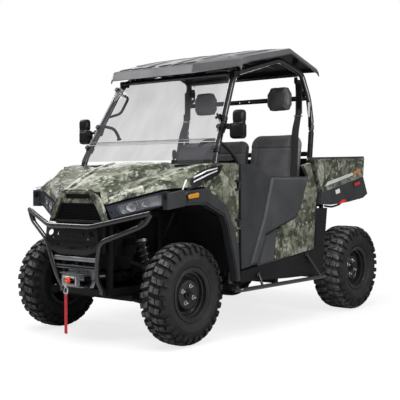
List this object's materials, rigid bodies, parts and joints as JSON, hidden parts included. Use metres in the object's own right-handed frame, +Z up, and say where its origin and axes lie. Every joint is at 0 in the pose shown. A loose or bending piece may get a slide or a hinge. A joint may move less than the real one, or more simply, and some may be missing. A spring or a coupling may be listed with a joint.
{
  "type": "side-by-side utility quad",
  "caption": "Two-seat side-by-side utility quad with open roofed cab, clear screen, doors, tipping cargo bed, tube bumper and winch.",
  "frame": {"origin": "on the ground midway between the front and rear ends, on the centre plane", "axes": "+X is the vehicle's left, -Y is forward, +Z is up"},
  "size_m": [1.504, 2.727, 1.9572],
  "materials": {
    "camo": "gloss woodland camouflage film",
    "dark_plastic": "grained dark grey",
    "black_plastic": "satin black",
    "black_steel": "semi-gloss black powder coat",
    "steel": "bare",
    "tyre": "matte rubber",
    "clear": "clear polycarbonate",
    "lamp": "clear lens over a silver reflector",
    "vinyl": "grained vinyl",
    "belt_web": "woven webbing",
    "red_web": "woven webbing"
  },
  "bodies": {
    "chassis": {"fender_left": "camo", "fender_right": "camo", "nose": "camo", "quarter_left": "camo", "quarter_right": "camo", "front_arch_left": "dark_plastic", "front_arch_right": "dark_plastic", "dashboard": "dark_plastic", "floor_tub": "black_plastic", "seat_base": "black_plastic", "roof": "black_plastic", "grille": "black_plastic", "steering_column": "black_plastic", "mirror_left": "black_plastic", "mirror_right": "black_plastic", "frame": "black_steel", "front_suspension": "black_steel", "rear_suspension": "black_steel", "front_drive": "black_steel", "rear_drive": "black_steel", "front_bumper": "black_steel", "roll_cage": "black_steel", "side_step_left": "black_steel", "side_step_right": "black_steel", "engine": "steel", "exhaust": "steel", "winch": "steel", "winch_hook": "steel", "windshield": "clear", "headlight_left": "lamp", "headlight_right": "lamp", "seat_cushion_left": "vinyl", "seat_cushion_right": "vinyl", "seat_back_left": "vinyl", "seat_back_right": "vinyl", "headrest_left": "vinyl", "headrest_right": "vinyl", "belt_left": "belt_web", "belt_right": "belt_web", "winch_strap": "red_web"},
    "knuckle_left": {"knuckle_left": "black_steel"},
    "knuckle_right": {"knuckle_right": "black_steel"},
    "wheel_front_left": {"tyre_front_left": "tyre", "rim_front_left": "black_steel"},
    "wheel_front_right": {"tyre_front_right": "tyre", "rim_front_right": "black_steel"},
    "wheel_rear_left": {"tyre_rear_left": "tyre", "rim_rear_left": "black_steel"},
    "wheel_rear_right": {"tyre_rear_right": "tyre", "rim_rear_right": "black_steel"},
    "steering_wheel": {"steering_wheel": "black_plastic"},
    "steering_rack": {"steering_rack": "steel"},
    "hood": {"hood": "camo"},
    "door_left": {"door_left": "dark_plastic"},
    "door_right": {"door_right": "dark_plastic"},
    "cargo_bed": {"cargo_bed": "camo"},
    "tailgate": {"tailgate": "dark_plastic"}
  },
  "joints": [
    {"name": "steer_left", "type": "hinge", "parent": "chassis", "child": "knuckle_left", "pos_m": [0.46, -0.9145, 0.314], "axis": [0, 0, 1], "range_deg": [-30, 30]},
    {"name": "steer_right", "type": "hinge", "parent": "chassis", "child": "knuckle_right", "pos_m": [-0.46, -0.9145, 0.314], "axis": [0, 0, 1], "range_deg": [-30, 30]},
    {"name": "spin_front_left", "type": "hinge", "parent": "knuckle_left", "child": "wheel_front_left", "pos_m": [0.56, -0.9145, 0.314], "axis": [1, 0, 0], "continuous": true},
    {"name": "spin_front_right", "type": "hinge", "parent": "knuckle_right", "child": "wheel_front_right", "pos_m": [-0.56, -0.9145, 0.314], "axis": [1, 0, 0], "continuous": true},
    {"name": "spin_rear_left", "type": "hinge", "parent": "chassis", "child": "wheel_rear_left", "pos_m": [0.585, 1.0395, 0.324], "axis": [1, 0, 0], "continuous": true},
    {"name": "spin_rear_right", "type": "hinge", "parent": "chassis", "child": "wheel_rear_right", "pos_m": [-0.585, 1.0395, 0.324], "axis": [1, 0, 0], "continuous": true},
    {"name": "steering_wheel_turn", "type": "hinge", "parent": "chassis", "child": "steering_wheel", "pos_m": [0.31, -0.25, 1.13], "axis": [0, 0.8829, 0.4695], "range_deg": [-270, 270]},
    {"name": "rack_slide", "type": "slide", "parent": "chassis", "child": "steering_rack", "axis": [1, 0, 0], "range_m": [-0.058, 0.058]},
    {"name": "hood_lift", "type": "hinge", "parent": "chassis", "child": "hood", "pos_m": [0, -0.72, 1.096], "axis": [-1, 0, 0], "range_deg": [0, 50]},
    {"name": "door_left_swing", "type": "hinge", "parent": "chassis", "child": "door_left", "pos_m": [0.664, -0.478, 0.85], "axis": [0, 0, -1], "range_deg": [0, 70]},
    {"name": "door_right_swing", "type": "hinge", "parent": "chassis", "child": "door_right", "pos_m": [-0.664, -0.478, 0.85], "axis": [0, 0, 1], "range_deg": [0, 70]},
    {"name": "bed_tilt", "type": "hinge", "parent": "chassis", "child": "cargo_bed", "pos_m": [0, 1.165, 0.8], "axis": [-1, 0, 0], "range_deg": [0, 40]},
    {"name": "tailgate_drop", "type": "hinge", "parent": "cargo_bed", "child": "tailgate", "pos_m": [0, 1.19, 0.872], "axis": [-1, 0, 0], "range_deg": [0, 90]}
  ],
  "couplings": [
    {"joint": "steer_right", "follows": "steer_left", "ratio": 1},
    {"joint": "steering_wheel_turn", "follows": "steer_left", "ratio": 9},
    {"joint": "rack_slide", "follows": "steer_left", "m_per_rad": -0.109}
  ]
}
